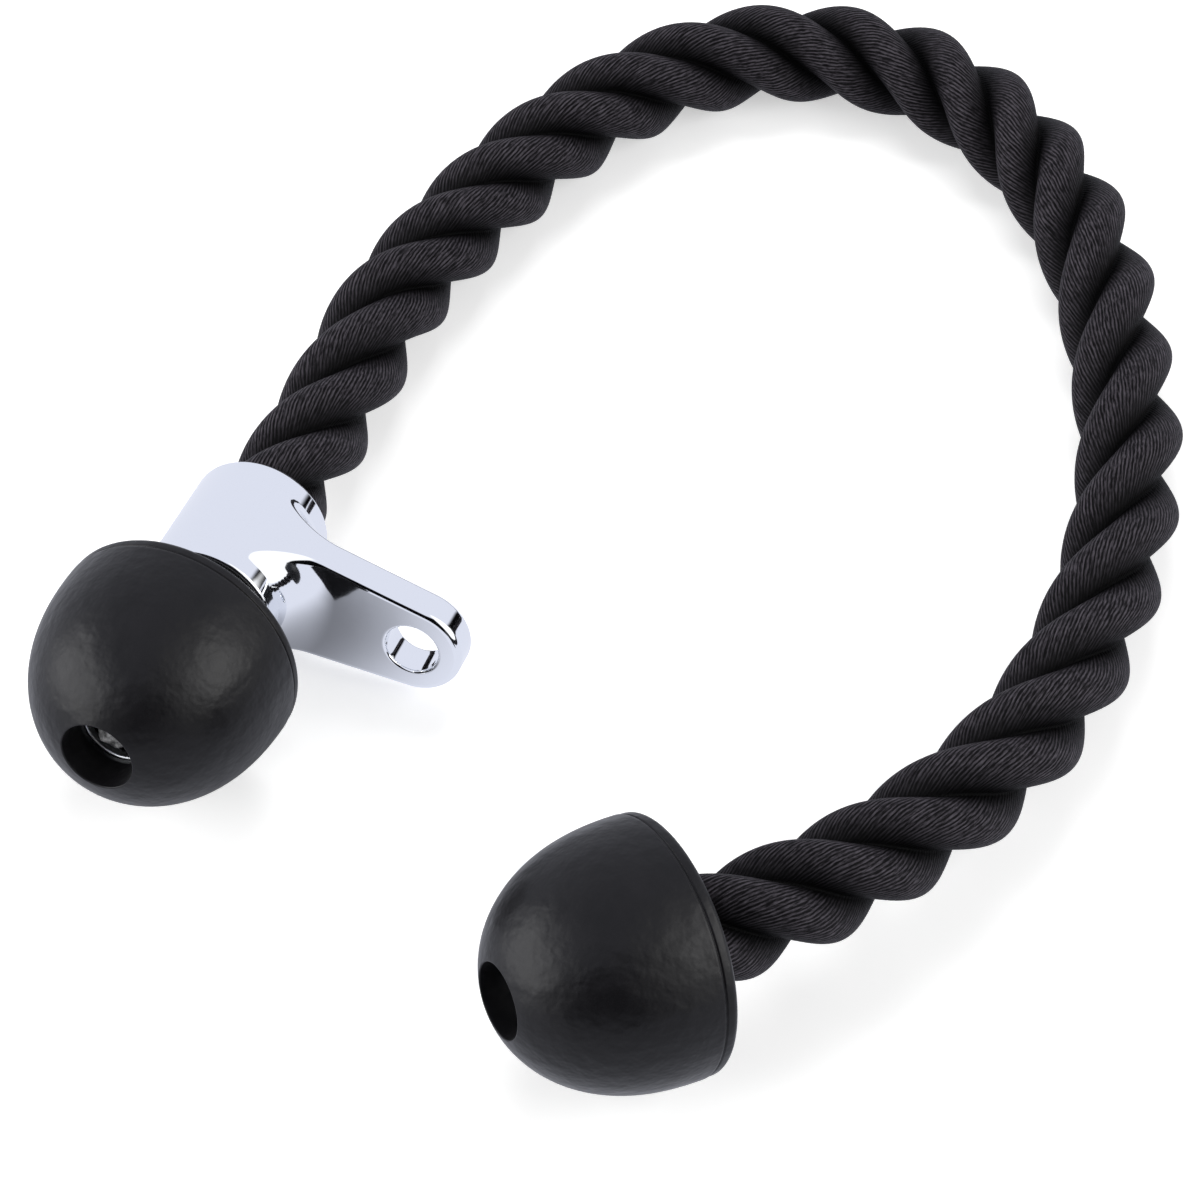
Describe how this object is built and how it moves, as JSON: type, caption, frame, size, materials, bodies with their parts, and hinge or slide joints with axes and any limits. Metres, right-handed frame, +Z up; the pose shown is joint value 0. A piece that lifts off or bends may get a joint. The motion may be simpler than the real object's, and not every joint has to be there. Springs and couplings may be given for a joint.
{
  "type": "triceps rope attachment",
  "caption": "Short thick twisted pull rope with a domed rubber end stop at each end and a chromed sleeve that slides and turns on it, with a flat lug and an eye for a snap hook.",
  "frame": {"origin": "on the floor under the middle of the box round the two balls and the sleeve, measured without the rope", "axes": "+Z up from the floor that the rope lies on; +Y from the balls towards the rope's far bend, along the first straight stretch seen from above; +X from ball 1 towards ball 2"},
  "size_m": [0.2454, 0.3621, 0.0622],
  "materials": {
    "rope_fibre": "matte laid synthetic fibre",
    "ball_rubber": "dull moulded rubber",
    "ferrule_steel": "plain crimped steel",
    "washer_steel": "bright zinc plate",
    "melted_fibre": "melted and set fibre",
    "liner_nylon": "matte",
    "bracket_chrome": "polished chrome plate"
  },
  "bodies": {
    "rope_and_balls": {"rope": "rope_fibre", "ball_1": "ball_rubber", "ball_2": "ball_rubber", "ferrule_1": "ferrule_steel", "ferrule_2": "ferrule_steel", "washer_1": "washer_steel", "washer_2": "washer_steel", "fused_end_1": "melted_fibre", "fused_end_2": "melted_fibre"},
    "liner": {"collar_liner": "liner_nylon"},
    "bracket": {"eye_bracket": "bracket_chrome"}
  },
  "joints": [
    {"name": "sleeve_slide", "type": "slide", "parent": "rope_and_balls", "child": "liner", "axis": [0, 0.985, -0.1724], "range_m": [-0.01, 0.023]},
    {"name": "bracket_swivel", "type": "hinge", "parent": "liner", "child": "bracket", "pos_m": [-0.06377, 0.04666, 0.02473], "axis": [0, 0.985, -0.1724], "continuous": true}
  ]
}
